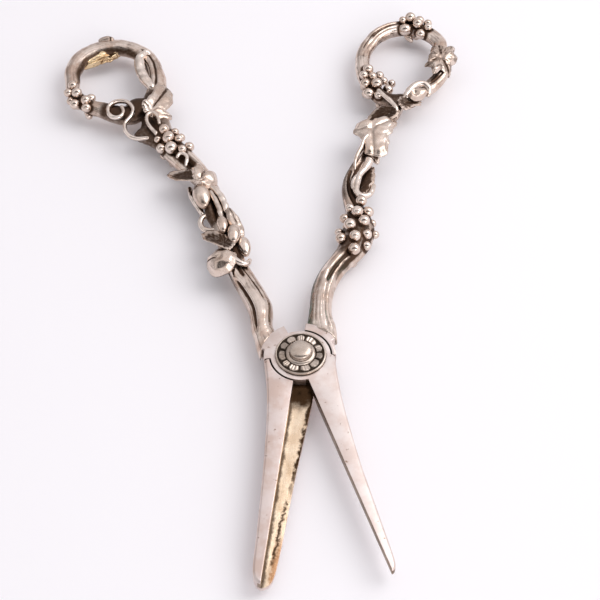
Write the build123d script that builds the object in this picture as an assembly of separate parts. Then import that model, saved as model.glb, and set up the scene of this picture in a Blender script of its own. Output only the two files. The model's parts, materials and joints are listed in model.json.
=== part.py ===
from build123d import *
import os
from math import hypot, radians, sqrt, tan

# Silver grape shears with cast vine handles, in millimetres, +Z up.
# The origin is on the pivot axis at the flat underside of the pivot nut. The shears lie flat:
# the finger rings point to +Y and the blades to -Y. Every arm is drawn in the closed position,
# where the two blades meet along the shear line, and is then turned to fully open.

# ---- driving dimensions ----
HALF_OPENING = 13.7          # each arm's turn from closed to fully open, degrees

NUT_HEIGHT = 2.2             # also the height of the blades' underside
LAP_HEIGHT = 4.4             # the plane where the two half-lapped discs meet
BLADE_TOP = 6.6
LAP_GAP = 0.05               # play between the two discs, half on each arm

DISC_RADIUS = 7.1            # half-lapped hinge disc of each arm
SHOULDER_RADIUS = 7.5        # concave shoulders that the other arm's disc turns in
COLLAR_RADIUS = 9.5          # outside of the collars that the vine stems stand on
PIN_RADIUS = 1.5
PIN_HOLE_RADIUS = 1.55
BUTTON_RADIUS = 2.7
BUTTON_TOP = 9.5
ROSETTE_RADIUS = 6.0
ROSETTE_RIM = 0.7
ROSETTE_DOME = 1.3
NUT_RADIUS = 4.6
SHANK_IN_NUT = 1.2           # length of the pin's shank inside the nut

TIP_Y = -59.0                # blade tips
SHEAR_X = -0.7               # the line along which the blades meet
SHEAR_GAP = 0.06
TIP_TOP = 5.6                # the blades thin down to this at their tips
TAPER_START_Y = -12.0
FLANGE_TOP = 3.4             # the lower blade's holding flange
FLANGE_GAP = 0.1
EDGE_CHAMFER = 0.45
RAMP_INNER = 8.3             # the flange rises to the lap between these radii
RAMP_OUTER = 12.0

RING_WIDTH = 3.6             # finger ring section
RING_HEIGHT = 4.2
STEM_CORE = 2.8              # grapes are wrapped over a stem or ring of this radius
RING_CORE = 1.8
LEAF_THICKNESS = 0.9

# ---- stems: x, y, width and height of each station, from the collar to the ring ----
LEFT_STEM = (
    (-5.2, 8.6, 7.4, 4.6),
    (-4.4, 16.0, 5.9, 5.8),
    (-4.7, 26.0, 6.1, 6.0),
    (-5.4, 36.0, 6.0, 6.0),
    (-4.0, 46.5, 6.2, 6.0),
    (-3.6, 55.0, 5.4, 5.6),
    (-4.6, 65.0, 6.0, 5.6),
    (-7.5, 74.0, 7.0, 6.0),
    (-9.5, 82.0, 7.0, 6.0),
    (-11.5, 91.0, 6.0, 5.0),
)
RIGHT_STEM = (
    (4.8, 8.2, 6.8, 4.6),
    (2.9, 15.0, 5.8, 5.8),
    (2.7, 20.5, 5.6, 5.9),
    (3.5, 26.0, 5.9, 6.0),
    (6.0, 32.0, 6.2, 6.0),
    (8.6, 38.0, 8.4, 6.2),
    (9.0, 43.5, 8.4, 6.2),
    (7.0, 50.0, 5.0, 5.0),
    (5.3, 57.5, 4.2, 4.6),
    (7.0, 64.5, 4.4, 4.6),
    (9.2, 71.5, 4.6, 4.6),
    (11.6, 80.5, 5.0, 4.8),
    (13.6, 89.0, 4.8, 4.6),
)

# ---- finger rings: corners of the rounded centre line ----
LEFT_RING = ((-12, 89), (-4.5, 101), (-3.8, 115), (-9, 122), (-17, 124.5), (-25.5, 120.5),
             (-28.8, 108), (-26, 100.5))
RIGHT_RING = ((14, 87), (4.6, 98.5), (3, 110), (7.5, 120), (15.5, 123.5), (24, 120),
              (28, 108.5), (25.5, 99.5))

# ---- grapes: x, y, diameter ----
LEFT_RING_GRAPES = (
    (-28.1, 108.1, 2.5), (-29.9, 106.3, 2.2), (-27.8, 104.7, 2.7), (-24.4, 103.3, 2.3),
    (-26.2, 101.1, 2.5), (-29.2, 102.1, 2.6), (-26.7, 98.9, 2.2), (-29.9, 104.2, 2.0),
)
LEFT_STEM_GRAPES = (
    (-9.4, 81.8, 2.6), (-6.6, 81.2, 2.0), (-9.2, 78.5, 2.8), (-11.7, 80.2, 1.8),
    (-11.7, 77.2, 2.5), (-9.5, 74.9, 2.9), (-6.6, 77.6, 2.1), (-5.5, 79.7, 2.1),
    (-4.5, 75.1, 2.4), (-6.9, 73.3, 2.0),
)
RIGHT_SIDE_GRAPES = (
    (5.9, 101.0, 2.5), (5.0, 97.8, 2.3), (7.3, 98.9, 2.5), (9.2, 101.0, 2.3), (5.7, 94.8, 2.6),
    (8.9, 94.9, 2.8), (10.5, 99.0, 2.1), (12.9, 98.2, 2.1), (12.1, 95.6, 2.5), (7.0, 91.8, 2.8),
    (9.8, 90.6, 2.0),
)
RIGHT_TOP_GRAPES = (
    (14.8, 120.3, 3.1), (15.9, 123.9, 2.8), (18.2, 121.7, 2.7), (18.6, 125.0, 2.6),
    (21.1, 123.4, 2.1), (19.4, 119.1, 2.7), (21.3, 120.7, 1.9), (13.8, 122.7, 2.0),
)
RIGHT_STEM_GRAPES = (
    (9.2, 50.0, 2.6), (6.6, 46.9, 2.1), (8.6, 45.6, 2.7), (11.2, 47.6, 2.6), (5.5, 44.4, 2.3),
    (7.2, 41.2, 2.9), (10.6, 43.0, 2.7), (12.6, 45.2, 1.9), (5.4, 37.0, 2.5), (8.9, 37.4, 2.7),
    (11.7, 39.6, 2.4), (13.7, 41.6, 1.9), (9.1, 33.6, 2.8), (11.9, 36.9, 2.2), (4.5, 41.2, 1.9),
)

# ---- leaves: base, tip, width, roll about the midrib in degrees ----
LEFT_LEAVES = {
    "left_ring_leaf": ((-11, 90.5, 7.4), (-4, 98.5, 6.2), 7.5, 28),
    "left_ring_leaflet": ((-9.5, 89, 7.3), (-5.5, 88.5, 5), 4.5, 15),
    "left_ring_inner_leaf": ((-13.5, 121.3, 3.4), (-22.3, 119.4, 3.4), 3.6, 65),
    "left_hooded_leaf": ((-6, 61.5, 7.4), (-12, 67.5, 4), 6.0, -20),
    "left_lobed_leaf": ((-6, 60.5, 7.9), (-3, 66.5, 7.6), 10.0, 15),
    "left_side_leaf": ((-1.5, 42.5, 6.4), (-2, 49.5, 7.4), 4.5, 20),
    "left_curled_leaf": ((-6, 36.5, 7.8), (-10.5, 45, 4.8), 7.5, -15),
    "left_round_leaf": ((-6, 31, 7.8), (-11.5, 35.5, 5), 8.0, 10),
}
RIGHT_LEAVES = {
    "right_ring_leaf": ((23, 102.5, 7.2), (29, 113, 6.6), 9.0, 10),
    "right_ring_leaflet": ((19, 90.5, 7.4), (23, 93.5, 6.8), 3.6, 10),
    "right_jagged_leaf": ((16, 88, 6.8), (21.5, 90.5, 4.5), 4.5, 20),
    "right_under_leaf": ((14.5, 84.5, 6), (8, 82.5, 3.5), 6.5, -15),
    "right_big_leaf": ((9, 78.5, 8), (11, 66, 7.8), 13.0, 0),
    "right_hook_leaf": ((8.5, 54.5, 5.5), (10.5, 65, 5), 5.5, 0),
}

# ---- buds: base, tip, diameter ----
LEFT_BUDS = {
    "left_bell_bud": (((-6.5, 60, 6.8), (-7, 53.5, 6.6), 4.0),),
    "left_hips": (((-4.5, 47, 7.6), (-5.5, 42, 7.8), 2.6),
                  ((-2.2, 43.5, 7.2), (-4.2, 38, 7.6), 3.2),
                  ((-1.5, 40.5, 5.6), (-2, 34.5, 5.6), 3.2)),
    "left_ring_bud": (((-16.5, 125.5, 5.6), (-12, 124.5, 5.6), 2.2),),
}
RIGHT_BUDS = {
    "right_stem_bud": (((10, 69.8, 5.8), (12.1, 66.2, 4.8), 2.3),),
    "right_ring_bud": (((14.8, 121.6, 3.4), (17.2, 118.9, 2.2), 2.0),),
}

# ---- tendrils and side shoots: diameter, then the corners of the route ----
LEFT_SHOOTS = {
    "left_spiral_tendril": (1.0, (-17.7, 96.2, 6.8), (-17.2, 93, 6.8), (-19.6, 91, 6.8),
                            (-21.9, 93.2, 6.8), (-21.4, 96.6, 6.8), (-18.8, 98.3, 6.9),
                            (-15.4, 97, 7), (-14.6, 93, 6.9), (-16.4, 90.6, 6.7), (-18.6, 89.4, 6.4),
                            (-19.2, 86.2, 6.2), (-17.6, 83, 5.9), (-13, 82.4, 5.6)),
    "left_loop_tendril": (0.9, (-11.5, 80.5, 7.9), (-12.5, 83.5, 7.9), (-13, 86.5, 7.9),
                          (-12, 89.5, 8), (-10, 89.5, 8), (-9.5, 87, 7.9), (-10, 84, 7.8)),
    "left_wrap_shoot": (2.6, (-4, 113.2, 5.8), (-5.2, 116.2, 6.6), (-7.8, 113.4, 6.4),
                        (-8.6, 109, 5.6), (-8.2, 104.4, 5.4), (-6.8, 100, 5.4)),
    "left_curl_tendril": (1.0, (-9, 70.5, 7.4), (-8.5, 72.5, 7.8), (-6.5, 72, 7.8),
                          (-6.5, 69.5, 7.8), (-8, 67, 7.3)),
    "left_twist_shoot": (2.0, (-4.5, 60, 6.8), (-2.5, 56.5, 7), (-2, 52.5, 6.8), (-2.5, 48, 6.6)),
    "left_inner_shoot": (1.4, (-4.5, 57.5, 7.2), (-4, 53.5, 7.3), (-4, 49.5, 7.2), (-4.5, 46, 7)),
    "left_back_shoot": (1.6, (-8.5, 63, 4.5), (-9, 58.5, 4.5), (-8.2, 54, 4.5), (-8, 51, 4.7)),
    "left_stem_loop": (1.5, (-5.5, 50, 5), (-8, 51.8, 5), (-9.8, 49.5, 4.7), (-9.4, 46, 4.8),
                       (-6, 45, 5.5)),
    "left_cross_shoot": (1.5, (-6.5, 36, 7.4), (-6, 32.5, 8), (-4.5, 30, 7.8), (-2.5, 30.5, 6.8),
                         (-1.5, 33, 5.6)),
}
RIGHT_SHOOTS = {
    "right_bunch_stalk": (1.0, (4.8, 102, 4.4), (9.2, 101, 4.4), (11.6, 98.6, 4.4), (12.6, 96, 4.4),
                          (11.5, 92, 4.8)),
    "right_loop_tendril": (1.6, (17, 89.5, 6.8), (18, 93, 7.2), (20, 96, 7.3), (22.5, 96.5, 7.1),
                           (24, 94.5, 6.6), (23, 92, 5.8)),
    "right_curved_shoot": (1.5, (9, 92.5, 7.4), (11, 90, 7.6), (13.5, 88, 7.4), (15.5, 85.5, 7),
                           (15.5, 82, 6.4)),
    "right_wavy_tendril": (0.9, (9, 73, 8.8), (7.5, 71, 8.8), (7.5, 68.5, 8.5), (6.5, 66, 8),
                           (6, 64, 7.2), (6.5, 61, 6.6)),
    "right_hook_shoot": (1.4, (10, 66.5, 6.8), (9.5, 63, 6.8), (7.8, 60, 7), (7.4, 56.5, 7),
                         (7.4, 53, 7), (9.4, 51.6, 6.8), (11.4, 53.2, 6.5), (12, 58, 6)),
    "right_knot_tendril": (1.0, (7.5, 60, 6.9), (6.2, 57, 7.2), (6.3, 53.8, 7.3), (7.6, 53.8, 7.3),
                           (7.8, 56, 7.2)),
}


def ring_sector(inner, outer, start, end):
    """A flat sector of a ring, between two angles in degrees."""
    outer_arc = CenterArc((0, 0), outer, start, end - start)
    inner_arc = CenterArc((0, 0), inner, start, end - start)
    sides = [Line(outer_arc @ 0, inner_arc @ 0), Line(outer_arc @ 1, inner_arc @ 1)]
    return make_face([outer_arc, inner_arc] + sides)


def closed_outline(curve, *corners):
    """A face bounded by a smooth curve and the straight lines that close it."""
    points = [curve @ 1, *corners, curve @ 0]
    lines = [Line(a, b) for a, b in zip(points, points[1:])]
    return make_face([curve] + lines)


def prism(face, bottom, top):
    return Pos(0, 0, bottom) * extrude(face, top - bottom)


def disc(radius, bottom, top):
    return Pos(0, 0, bottom) * Cylinder(radius, top - bottom, align=(Align.CENTER, Align.CENTER, Align.MIN))


def turned(*profile):
    """A solid of revolution about Z from points given as (radius, height)."""
    return revolve(Plane.XZ * make_face(Polyline(*profile, close=True)), Axis.Z)


def blade_taper():
    """The wedge that thins both blades down towards their tips."""
    side = make_face(Polyline((TAPER_START_Y, BLADE_TOP), (TIP_Y - 5, TIP_TOP - 0.1),
                              (TIP_Y - 5, BLADE_TOP + 1), (TAPER_START_Y, BLADE_TOP + 1), close=True))
    return extrude(Plane.YZ * side, 30, both=True)


def top_edge_beyond(solid, x_side):
    """The long upper edge of a blade on one side, for its bevel."""
    edges = [e for e in solid.edges() if e.length > 20 and e.center().Z > 5.8]
    return [e for e in edges if e.center().X * x_side > 1.0]


def lower_blade():
    """Lower disc, collar and broad blade, whose flange holds the cut stalk under the upper blade."""
    tip = (SHEAR_X - SHEAR_GAP, TIP_Y)
    outer_edge = Spline((-8.3, -2.6), (-6.7, -9.5), (-5.2, -20.5), (-4.1, -34), (-3.5, -44),
                        (-3.2, -51), (-3.0, -55), (-2.5, -57.3), (-1.7, -58.5), tip)
    back = closed_outline(outer_edge, (SHEAR_X - SHEAR_GAP, 0), (-4, 0))
    flange_edge = Spline((4.3, -6), (4.0, -14.5), (3.2, -26), (2.8, -34), (2.5, -42), (2.3, -48),
                         (2.0, -53), (1.7, -56), (0.9, -58.1), tip)
    flange = closed_outline(flange_edge, (SHEAR_X - 1, -50), (SHEAR_X - 1, 0), (4, 0))
    collar = ring_sector(DISC_RADIUS - 1, COLLAR_RADIUS, 38, 90)
    collar += ring_sector(DISC_RADIUS - 1, COLLAR_RADIUS - 1.1, 9, 38)

    shoulders = prism(back, NUT_HEIGHT, BLADE_TOP) + prism(collar, NUT_HEIGHT, BLADE_TOP)
    shoulders -= disc(SHOULDER_RADIUS, LAP_HEIGHT - LAP_GAP, BLADE_TOP + 1)
    shoulders -= blade_taper()
    shoulders = chamfer(top_edge_beyond(shoulders, -1), EDGE_CHAMFER)
    ramp = turned((0, NUT_HEIGHT), (RAMP_OUTER, NUT_HEIGHT), (RAMP_OUTER, FLANGE_TOP), (9.8, 3.7),
                  (RAMP_INNER, LAP_HEIGHT - LAP_GAP), (0, LAP_HEIGHT - LAP_GAP))
    body = shoulders + prism(flange, NUT_HEIGHT, FLANGE_TOP) + (ramp & prism(flange, NUT_HEIGHT, LAP_HEIGHT))
    body += disc(DISC_RADIUS, NUT_HEIGHT, LAP_HEIGHT - LAP_GAP)
    return body - disc(PIN_HOLE_RADIUS, 0, BLADE_TOP)


def upper_blade():
    """Upper disc, collar and narrow blade, which shears down past the lower blade's back."""
    tip = (SHEAR_X + SHEAR_GAP, TIP_Y + 0.4)
    outer_edge = Spline((7.6, -2.8), (5.9, -9.7), (4.8, -15.5), (3.6, -24), (2.6, -33), (2.0, -41),
                        (1.4, -50), (1.0, -55.2), (0.6, -57.4), (0.1, -58.3), tip)
    outline = closed_outline(outer_edge, (SHEAR_X + SHEAR_GAP, 0), (4, 0))
    collar = ring_sector(DISC_RADIUS - 1, COLLAR_RADIUS, 95, 148)
    collar += ring_sector(DISC_RADIUS - 1, COLLAR_RADIUS - 0.8, 148, 167)

    blade = prism(outline, FLANGE_TOP + FLANGE_GAP, BLADE_TOP) - blade_taper()
    blade = chamfer(top_edge_beyond(blade, 1), EDGE_CHAMFER)
    blade -= turned((0, 0), (RAMP_OUTER + 1.2, 0), (RAMP_OUTER + 1.2, FLANGE_TOP + FLANGE_GAP),
                    (RAMP_INNER + 0.9, LAP_HEIGHT + LAP_GAP), (0, LAP_HEIGHT + LAP_GAP))
    shoulder = prism(collar, NUT_HEIGHT, BLADE_TOP) - disc(SHOULDER_RADIUS, 0, LAP_HEIGHT + LAP_GAP)
    body = blade + shoulder + disc(DISC_RADIUS, LAP_HEIGHT + LAP_GAP, BLADE_TOP)
    return body - disc(PIN_HOLE_RADIUS, 0, BLADE_TOP)


def lathe_parts():
    """The pin with its stepped button, the domed rosette washer and the nut."""
    seat = BLADE_TOP + ROSETTE_DOME
    shank_foot = NUT_HEIGHT - SHANK_IN_NUT
    neck = BUTTON_RADIUS - 0.5
    rosette_shelf = BLADE_TOP + ROSETTE_RIM
    pin = turned((0, shank_foot), (PIN_RADIUS, shank_foot), (PIN_RADIUS, seat), (neck, seat),
                 (neck, seat + 0.6), (BUTTON_RADIUS, seat + 0.8), (BUTTON_RADIUS, BUTTON_TOP - 0.3),
                 (BUTTON_RADIUS - 0.3, BUTTON_TOP), (0, BUTTON_TOP))
    rosette = turned((PIN_HOLE_RADIUS, BLADE_TOP), (ROSETTE_RADIUS, BLADE_TOP),
                     (ROSETTE_RADIUS, rosette_shelf), (ROSETTE_RADIUS - 1, rosette_shelf + 0.3),
                     (BUTTON_RADIUS, seat), (PIN_HOLE_RADIUS, seat))
    nut = turned((0, 0), (NUT_RADIUS - 0.5, 0), (NUT_RADIUS, 0.5), (NUT_RADIUS, NUT_HEIGHT),
                 (PIN_RADIUS, NUT_HEIGHT), (PIN_RADIUS, shank_foot), (0, shank_foot))
    return {"pivot_pin": pin, "rosette_washer": rosette, "pivot_nut": nut}


def stem(stations):
    """A vine stem lofted through flat ovals, clear of the collar's circle."""
    sections = []
    for i, (x, y, width, height) in enumerate(stations):
        before = stations[max(i - 1, 0)]
        after = stations[min(i + 1, len(stations) - 1)]
        along = Vector(after[0] - before[0], after[1] - before[1], 0)
        across = Vector(along.Y, -along.X, 0)
        plane = Plane(origin=(x, y, LAP_HEIGHT), x_dir=across, z_dir=along)
        sections.append(plane * Ellipse(width / 2, height / 2))
    return loft(sections) - disc(COLLAR_RADIUS, 0, BLADE_TOP + 2)


def finger_ring(corners, stem_solid):
    """A closed oval tube through rounded corners, fitted against the end of its stem."""
    path = rounded_route([(x, y, LAP_HEIGHT) for x, y in corners], close=True)
    start = Plane(origin=path @ 0, x_dir=(0, 0, 1), z_dir=path % 0)
    return sweep(start * Ellipse(RING_HEIGHT / 2, RING_WIDTH / 2), path) - stem_solid


def distance_to_route(x, y, route):
    """Plan distance from a point to a line of points."""
    best = 1000.0
    for (ax, ay), (bx, by) in zip(route, route[1:]):
        length = hypot(bx - ax, by - ay)
        along = ((x - ax) * (bx - ax) + (y - ay) * (by - ay)) / length
        along = min(max(along, 0), length)
        px, py = ax + (bx - ax) * along / length, ay + (by - ay) * along / length
        best = min(best, hypot(x - px, y - py))
    return best


def grapes(bunch, route, core):
    """Grapes wrapped over a stem or ring, repeated on its underside where there is room."""
    berries = []
    for x, y, diameter in bunch:
        radius = diameter / 2
        lift = core + 0.7 * radius
        out = distance_to_route(x, y, route)
        rise = sqrt(max(lift ** 2 - out ** 2, 0))
        berries.append(Pos(x, y, LAP_HEIGHT + rise) * Sphere(radius))
        drop = min(rise, LAP_HEIGHT - radius)
        if rise + drop > diameter + 0.2:
            berries.append(Pos(x, y, LAP_HEIGHT - drop) * Sphere(radius))
    return Compound(children=berries)


def leaf(base, tip, width, roll):
    """A flat five-lobed vine leaf from its stalk to its tip."""
    base, tip = Vector(*base), Vector(*tip)
    midrib = tip - base
    side = midrib.cross(Vector(0, 0, 1)).normalized()
    up = side.cross(midrib).normalized().rotate(Axis((0, 0, 0), midrib), roll)
    length, half = midrib.length, width / 2
    lobes = ((0.0, 0.0), (-0.08, 0.55), (0.16, 0.98), (0.34, 0.66), (0.62, 0.92), (0.74, 0.42), (1.0, 0.0))
    edge = [(u * length, v * half) for u, v in lobes]
    edge += [(u * length, -v * half) for u, v in reversed(lobes[1:-1])]
    plane = Plane(origin=base, x_dir=midrib, z_dir=up)
    return extrude(plane * make_face(Polyline(*edge, close=True)), LEAF_THICKNESS / 2, both=True)


def bud(base, tip, diameter):
    """An egg-shaped bud or rose hip."""
    base, tip = Vector(*base), Vector(*tip)
    half, radius = (tip - base).length / 2, diameter / 2
    waist, level = 0.75 * radius, 0.62 * half
    side = Spline((0, -half), (waist, -level), (radius, 0), (waist, level), (0, half))
    egg = revolve(Plane.XZ * make_face([side, Line((0, half), (0, -half))]), Axis.Z)
    return Plane(origin=(base + tip) / 2, z_dir=tip - base) * egg


def rounded_route(corners, close=False):
    """Straight runs joined by arcs, each as large as its two runs allow."""
    points = [Vector(*corner) for corner in corners]
    count = len(points)
    radii = []
    for i in range(count) if close else range(1, count - 1):
        before = points[i] - points[i - 1]
        after = points[(i + 1) % count] - points[i]
        half_turn = radians(before.get_angle(after)) / 2
        radii.append(0.45 * min(before.length, after.length) / tan(half_turn))
    return FilletPolyline(*points, radius=radii, close=close)


def shoot(diameter, *corners):
    """A round tendril or side shoot along a rounded route."""
    path = rounded_route(corners)
    return sweep(Plane(origin=path @ 0, z_dir=path % 0) * Circle(diameter / 2), path)


def route_of(stations):
    return [(s[0], s[1]) for s in stations]


def arm(side, stations, ring_corners, leaves, buds, shoots, bunches):
    """Everything that stands on one collar: stem, finger ring and soldered castings."""
    nodes = {f"{side}_stem": stem(stations)}
    nodes[f"{side}_ring"] = finger_ring(ring_corners, nodes[f"{side}_stem"])
    for name, (bunch, route, lift) in bunches.items():
        nodes[name] = grapes(bunch, route, lift)
    for name, spec in leaves.items():
        nodes[name] = leaf(*spec)
    for name, group in buds.items():
        nodes[name] = Compound(children=[bud(*spec) for spec in group])
    for name, spec in shoots.items():
        nodes[name] = shoot(*spec)
    return nodes


left_route, right_route = route_of(LEFT_STEM), route_of(RIGHT_STEM)
left_loop, right_loop = list(LEFT_RING + LEFT_RING[:1]), list(RIGHT_RING + RIGHT_RING[:1])

upper_arm = {"upper_blade": upper_blade()}
upper_arm |= arm("left", LEFT_STEM, LEFT_RING, LEFT_LEAVES, LEFT_BUDS, LEFT_SHOOTS, {
    "left_ring_grapes": (LEFT_RING_GRAPES, left_loop, RING_CORE),
    "left_stem_grapes": (LEFT_STEM_GRAPES, left_route, STEM_CORE),
})
lower_arm = {"lower_blade": lower_blade()}
lower_arm |= lathe_parts()
lower_arm |= arm("right", RIGHT_STEM, RIGHT_RING, RIGHT_LEAVES, RIGHT_BUDS, RIGHT_SHOOTS, {
    "right_side_grapes": (RIGHT_SIDE_GRAPES, right_loop, RING_CORE),
    "right_top_grapes": (RIGHT_TOP_GRAPES, right_loop, RING_CORE),
    "right_stem_grapes": (RIGHT_STEM_GRAPES, right_route, STEM_CORE),
})

os.makedirs("parts", exist_ok=True)
for arm_nodes, turn in ((upper_arm, HALF_OPENING), (lower_arm, -HALF_OPENING)):
    for node_name, solid in arm_nodes.items():
        export_step(Rot(0, 0, turn) * solid, f"parts/{node_name}.step")
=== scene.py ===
import heapq
import json
import math

import bmesh
import bpy
import numpy as np
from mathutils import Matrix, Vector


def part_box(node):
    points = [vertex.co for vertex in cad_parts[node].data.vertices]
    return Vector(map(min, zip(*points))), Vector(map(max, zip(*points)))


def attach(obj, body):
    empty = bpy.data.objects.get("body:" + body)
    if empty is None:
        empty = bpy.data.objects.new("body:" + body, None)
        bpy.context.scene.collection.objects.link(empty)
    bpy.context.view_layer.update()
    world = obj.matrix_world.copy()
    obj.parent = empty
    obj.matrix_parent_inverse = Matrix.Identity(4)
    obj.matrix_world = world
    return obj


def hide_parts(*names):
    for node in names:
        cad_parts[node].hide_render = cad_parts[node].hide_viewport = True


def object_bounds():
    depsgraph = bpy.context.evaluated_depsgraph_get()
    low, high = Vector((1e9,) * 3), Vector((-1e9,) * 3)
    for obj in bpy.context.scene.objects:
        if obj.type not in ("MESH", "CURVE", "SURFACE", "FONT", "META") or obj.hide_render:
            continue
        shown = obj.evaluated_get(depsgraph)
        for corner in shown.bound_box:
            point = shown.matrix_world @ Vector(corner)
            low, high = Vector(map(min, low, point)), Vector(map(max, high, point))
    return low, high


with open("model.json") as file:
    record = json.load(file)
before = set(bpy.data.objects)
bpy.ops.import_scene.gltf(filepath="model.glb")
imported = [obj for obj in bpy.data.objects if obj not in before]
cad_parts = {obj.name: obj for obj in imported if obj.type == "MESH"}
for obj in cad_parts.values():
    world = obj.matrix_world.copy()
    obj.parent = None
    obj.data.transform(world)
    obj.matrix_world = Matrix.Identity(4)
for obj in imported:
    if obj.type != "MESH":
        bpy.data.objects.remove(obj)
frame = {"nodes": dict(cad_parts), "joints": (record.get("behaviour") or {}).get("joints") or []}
cad_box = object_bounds()

# Everything below is worked out in millimetres and written to Blender in metres.
# "The closed frame" has each arm turned by half the opening, so that the blades lie along -Y.
METRE = 0.001
HINGE = frame["joints"][0]
HALF_OPENING = math.radians(-HINGE["range_deg"][0] / 2)
ARMS = {"left": ("upper_arm", 1), "right": ("lower_arm", -1)}  # body, and which way it opens
LAP = HINGE["pos_m"][2] * 1000       # height where the two arms meet
COLLAR = 9.5                         # radius of the collars that the stems stand on
TOP = cad_box[1][2] * 1000


# ---- small helpers
def smooth(low, high, x):
    t = np.clip((np.asarray(x, float) - low) / (high - low), 0, 1)
    return t * t * (3 - 2 * t)


def bell(x, centre, width):
    return np.exp(-(((x - centre) / width) ** 2))


def between(x, start, end, edge):
    """1 from start to end and 0 outside, with soft steps that reach edge to either side."""
    return smooth(start - edge, start + edge, x) * (1 - smooth(end - edge, end + edge, x))


def wrapped(angle):
    """Degrees brought into -180 to 180."""
    return (angle + 180) % 360 - 180


def unit(v):
    v = np.asarray(v, float)
    return v / np.maximum(np.linalg.norm(v, axis=-1, keepdims=True), 1e-9)


def ripple(points, size, seed):
    """Smooth repeatable noise, about -1 to 1, with lumps about size mm across."""
    rng = np.random.default_rng(seed)
    total = np.zeros(points.shape[:-1])
    for _ in range(7):
        direction = unit(rng.normal(size=3))
        pitch = 2 * math.pi / (size * rng.uniform(0.7, 1.6))
        total += np.sin(points @ direction * pitch + rng.uniform(0, 6.28))
    return total / 3.2


def turned(points, angle):
    c, s = math.cos(angle), math.sin(angle)
    out = np.array(points, float)
    out[..., 0] = points[..., 0] * c - points[..., 1] * s
    out[..., 1] = points[..., 0] * s + points[..., 1] * c
    return out


def arm_of(node):
    """The arm that a left or right node belongs to."""
    return ARMS[node.split("_")[0]][0]


# ---- reading the CAD nodes
def welded(node):
    """Vertices in mm with doubles merged, edges, and one outward normal for each vertex."""
    mesh = frame["nodes"][node].data
    co = np.empty(len(mesh.vertices) * 3)
    mesh.vertices.foreach_get("co", co)
    co = co.reshape(-1, 3) * 1000
    normal = np.array([v.normal for v in mesh.vertices])
    edges = np.empty(len(mesh.edges) * 2, int)
    mesh.edges.foreach_get("vertices", edges)
    _, first, inverse = np.unique(np.round(co, 3), axis=0, return_index=True, return_inverse=True)
    inverse = inverse.ravel()
    summed = np.zeros((len(first), 3))
    np.add.at(summed, inverse, normal)
    return co[first], inverse[edges.reshape(-1, 2)], unit(summed)


def loose_parts(node):
    """The vertices of each separate solid of a node."""
    co, edges, _ = welded(node)
    label = np.arange(len(co))
    while True:
        low = np.minimum(label[edges[:, 0]], label[edges[:, 1]])
        new = label.copy()
        np.minimum.at(new, edges[:, 0], low)
        np.minimum.at(new, edges[:, 1], low)
        new = new[new]
        if (new == label).all():
            break
        label = new
    return [co[label == k] for k in np.unique(label)]


def long_axis(points):
    """Centre, unit long axis, half length and radius of an egg-shaped solid."""
    centre = points.mean(0)
    spread = points - centre
    axis = np.linalg.svd(spread, full_matrices=False)[2][0]
    along = spread @ axis
    across = np.linalg.norm(spread - along[:, None] * axis, axis=1)
    return centre, axis, (along.max() - along.min()) / 2, across.max()


def reach(start, count, neighbours):
    """Distance over the mesh from one vertex to every other."""
    best = np.full(count, np.inf)
    best[start] = 0
    queue = [(0.0, start)]
    while queue:
        d, i = heapq.heappop(queue)
        if d > best[i]:
            continue
        for j, step in neighbours[i]:
            if d + step < best[j]:
                best[j] = d + step
                heapq.heappush(queue, (d + step, j))
    return best


def tube_route(node, spacing=0.5):
    """Centre line and radius of a tendril, read from its CAD tube."""
    co, edges, normal = welded(node)
    neighbours = [[] for _ in co]
    for i, j in edges:
        step = float(np.linalg.norm(co[i] - co[j]))
        neighbours[i].append((j, step))
        neighbours[j].append((i, step))
    one_end = int(np.argmax(reach(0, len(co), neighbours)))
    far = reach(one_end, len(co), neighbours)
    length = far.max()
    bins = max(int(length / spacing), 6)
    stage = np.minimum((far / length * bins).astype(int), bins - 1)
    used = [k for k in range(bins) if (stage == k).any()]
    rough_line = np.array([co[stage == k].mean(0) for k in used])
    radius = np.median(np.linalg.norm(co[:, None, :] - rough_line[None], axis=2).min(1))
    centred = co - radius * normal
    return np.array([centred[stage == k].mean(0) for k in used]), radius


def slices(node, sign, count):
    """Centre, width and height of a stem at even steps along its arm, in the closed frame."""
    co, edges, _ = welded(node)
    co = turned(co, -sign * HALF_OPENING)
    a, b = co[edges[:, 0]], co[edges[:, 1]]
    rows = []
    foot_gap, head_gap = 0.4, 3.4
    for y in np.linspace(COLLAR + foot_gap, co[:, 1].max() - head_gap, count):
        cross = (a[:, 1] - y) * (b[:, 1] - y) < 0
        t = ((y - a[cross, 1]) / (b[cross, 1] - a[cross, 1]))[:, None]
        hit = a[cross] + (b[cross] - a[cross]) * t
        low, high = hit.min(0), hit.max(0)
        rows.append(((low[0] + high[0]) / 2, y, (low[2] + high[2]) / 2, high[0] - low[0], high[2] - low[2]))
    return np.array(rows)


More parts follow.
